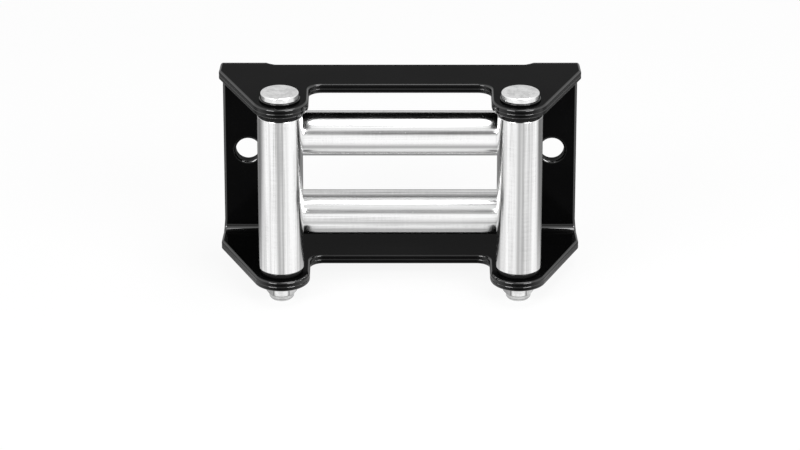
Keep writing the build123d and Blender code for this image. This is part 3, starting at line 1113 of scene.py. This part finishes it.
def lay_floor(studio):
    """A pale square of floor under the object, whose part behind the object has a painted shade that only
    reflections show, grey there.
    """
    corners = [(x * FLOOR_HALF, y * FLOOR_HALF, cad_box[0][2]) for x, y in QUARTERS]
    mesh = bpy.data.meshes.new("studio_floor")
    mesh.from_pydata(corners, [], [(0, 1, 2, 3)])
    floor = new_object("studio_floor", mesh)
    material = bpy.data.materials.new("pale_floor")
    mesh.materials.append(material)
    s = Shader(material)
    matt = s.add("ShaderNodeBsdfDiffuse", {"Color": colour(studio.floor)})
    camera, glossy, through = light_paths(s)
    where = s.add("ShaderNodeTexCoord", output=3)
    # Painted shade on the floor behind the object, seen only in reflections.
    rear = s.between(*FLOOR_REAR, s.add("ShaderNodeSeparateXYZ", {"Vector": where}, 1))
    level = s.blend(glossy * rear, WHITE, colour([studio.floor_rear] * 3))
    glow = s.add("ShaderNodeEmission", {"Color": level, "Strength": 1.0})
    seen = s.maths("MAXIMUM", camera, through) * FLOOR_SHOWN
    seen = s.maths("MAXIMUM", seen, glossy * studio.floor_glow)
    both = s.add("ShaderNodeMixShader", {0: seen, 1: matt, 2: glow})
    s.add("ShaderNodeOutputMaterial", {"Surface": both})


def panels(s, studio):
    """Level of the white panels round the object, by direction, as its gloss shows them.

    They are white, fall off softly behind the object, and leave a grey gap in front, above the camera.
    """
    way = s.add("ShaderNodeTexCoord")
    x, y, z = (s.add("ShaderNodeSeparateXYZ", {"Vector": way}, number) for number in range(3))
    behind = s.between(*BEHIND, y)
    gap = 1 - s.between(*GAP_HALF_HEIGHT, s.maths("ABSOLUTE", z - GAP_HEIGHT))
    gap = gap * (1 - s.between(*GAP_HALF_WIDTH, s.maths("ABSOLUTE", x)))
    gap = gap * (1 - s.between(*GAP_REAR, y))
    return (1 - behind * (1 - studio.behind)) * (1 - gap * (1 - studio.gap))


def surround(scene, studio):
    """Soft light from all round, which the camera sees as white and a reflection as the panels."""
    world = bpy.data.worlds.new("white_surroundings")
    scene.world = world
    s = Shader(world)
    light = s.add("ShaderNodeBackground", {"Color": WHITE, "Strength": studio.world})
    white = s.add("ShaderNodeBackground", {"Color": WHITE, "Strength": 1.0})
    level = s.blend(panels(s, studio), (0, 0, 0, 1), WHITE)
    mirrored = s.add("ShaderNodeBackground", {"Color": level, "Strength": 1.0})
    camera, glossy, through = light_paths(s)
    seen = s.maths("MAXIMUM", camera, through)
    both = s.add("ShaderNodeMixShader", {0: seen, 1: light, 2: white})
    both = s.add("ShaderNodeMixShader", {0: glossy, 1: both, 2: mirrored})
    s.add("ShaderNodeOutputWorld", {"Surface": both})


def place_camera(scene, studio):
    """The camera in front of the object, at its distance along (0, -cos pitch, sin pitch)."""
    back = np.array((0, -np.cos(studio.pitch), np.sin(studio.pitch)))
    data = bpy.data.cameras.new("photo_camera")
    data.sensor_width, data.lens, data.clip_end = 36.0, studio.lens, 20.0
    camera = new_object("photo_camera", data)
    aim(camera, tuple(CAMERA_TARGET + back * studio.distance), CAMERA_TARGET)
    scene.camera = camera


class FAIRLEAD_OT_stage(bpy.types.Operator):
    """Pale floor, soft lamps, white surroundings and the photograph's camera"""

    bl_idname = "fairlead.stage"
    bl_label = "Studio"

    def execute(self, context):
        scene, studio = context.scene, context.scene.fairlead_studio
        scene.view_settings.view_transform = "Standard"
        lay_floor(studio)
        surround(scene, studio)
        for name, place, size, power in SOFTBOXES:
            softbox(name, place, size, getattr(studio, power))
        place_camera(scene, studio)
        return {"FINISHED"}


OPERATORS = (
    FAIRLEAD_OT_stage,
    FAIRLEAD_OT_bracket,
    FAIRLEAD_OT_rollers,
    FAIRLEAD_OT_bushes,
    FAIRLEAD_OT_pins,
    FAIRLEAD_OT_nuts,
)


class FAIRLEAD_PT_panel(bpy.types.Panel):
    """Sizes, finishes and the pieces' operators"""

    bl_idname = "FAIRLEAD_PT_panel"
    bl_label = "Roller fairlead"
    bl_space_type = "VIEW_3D"
    bl_region_type = "UI"
    bl_category = "Fairlead"

    def draw(self, context):
        for owner, group in GROUPS.items():
            box = self.layout.box()
            for name in group.__annotations__:
                box.prop(getattr(context.scene, owner), name)
        for operator in OPERATORS:
            self.layout.operator(operator.bl_idname)


GROUPS = {
    "fairlead_sizes": FAIRLEAD_PG_sizes,
    "fairlead_look": FAIRLEAD_PG_look,
    "fairlead_studio": FAIRLEAD_PG_studio,
}


def register():
    for group in GROUPS.values():
        bpy.utils.register_class(group)
    for name, group in GROUPS.items():
        setattr(bpy.types.Scene, name, bpy.props.PointerProperty(type=group))
    for operator in OPERATORS:
        bpy.utils.register_class(operator)
    bpy.utils.register_class(FAIRLEAD_PT_panel)


def unregister():
    bpy.utils.unregister_class(FAIRLEAD_PT_panel)
    for operator in reversed(OPERATORS):
        bpy.utils.unregister_class(operator)
    for name in GROUPS:
        delattr(bpy.types.Scene, name)
    for group in reversed(GROUPS.values()):
        bpy.utils.unregister_class(group)


def main():
    """Builds every piece in order."""
    register()
    bpy.ops.fairlead.stage()
    bpy.ops.fairlead.bracket()
    bpy.ops.fairlead.rollers()
    bpy.ops.fairlead.bushes()
    bpy.ops.fairlead.pins()
    bpy.ops.fairlead.nuts()


if __name__ == "__main__":
    main()
